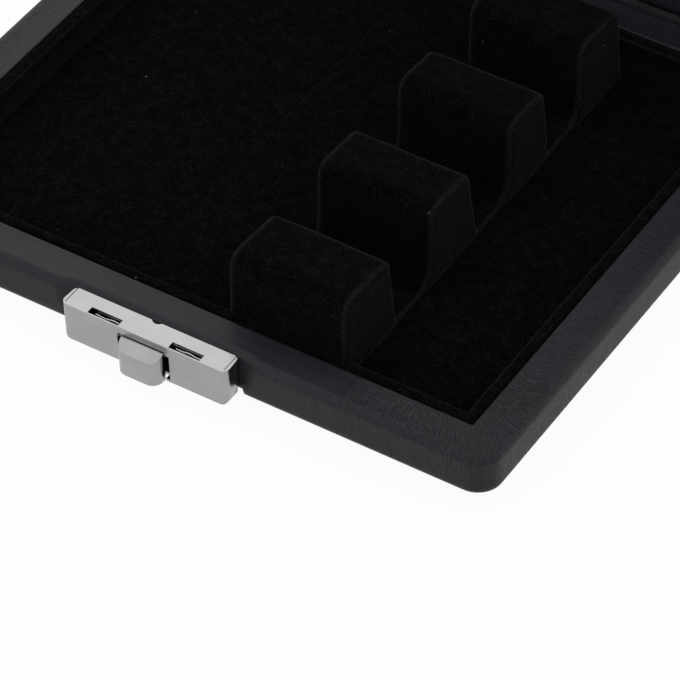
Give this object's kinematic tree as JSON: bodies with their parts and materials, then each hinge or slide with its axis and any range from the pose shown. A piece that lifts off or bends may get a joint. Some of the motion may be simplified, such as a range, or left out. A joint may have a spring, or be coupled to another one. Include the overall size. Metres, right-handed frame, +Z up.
{
  "type": "bassoon reed case",
  "caption": "Small leather-covered reed case standing open, velvet lined, with a padded block of troughs for reeds, a hinged lid and a spring push latch on the front.",
  "frame": {"origin": "middle of the flat underside of the tray", "axes": "+X to the right along the front edge, +Y back to the hinge, +Z up"},
  "size_m": [0.1218, 0.156, 0.1169],
  "materials": {
    "leather": "fine wrinkled grain, satin",
    "board": "raw",
    "underside": "matt lining cloth",
    "velvet": "short black pile",
    "foam": "soft foam",
    "nickel": "nickel plated, satin polish",
    "steel": "plain"
  },
  "bodies": {
    "base": {"base_leather": "leather", "hinge_cover": "leather", "base_core": "board", "base_bottom_cover": "underside", "floor_pad_left": "velvet", "floor_pad_right": "velvet", "liner_front": "velvet", "liner_rear": "velvet", "liner_left": "velvet", "liner_right": "velvet", "reed_block_velvet": "velvet", "reed_block_foam": "foam", "latch_body": "nickel", "hinge_leaf_base": "nickel", "latch_back_plate": "steel", "latch_rivets": "steel", "latch_spring": "steel", "hinge_pin": "steel", "hinge_screws_base": "steel"},
    "lid": {"lid_core": "board", "lid_leather": "leather", "lid_pad": "velvet", "lid_liner_front": "velvet", "lid_liner_rear": "velvet", "lid_liner_left": "velvet", "lid_liner_right": "velvet", "catch_plate": "nickel", "catch_rivets": "nickel", "hinge_leaf_lid": "nickel", "hinge_screws_lid": "steel"},
    "latch_slide": {"latch_button": "nickel", "latch_bolt": "steel"}
  },
  "joints": [
    {"name": "lid_hinge", "type": "hinge", "parent": "base", "child": "lid", "pos_m": [0, 0.0546, 0.00807], "axis": [1, 0, 0], "range_deg": [0, 105], "deforming": ["hinge_cover"]},
    {"name": "latch_press", "type": "slide", "parent": "base", "child": "latch_slide", "axis": [0, 1, 0], "range_m": [0, 0.001], "stiffness_N_per_m": 600, "springref_m": -0.0015, "deforming": ["latch_spring"]}
  ]
}
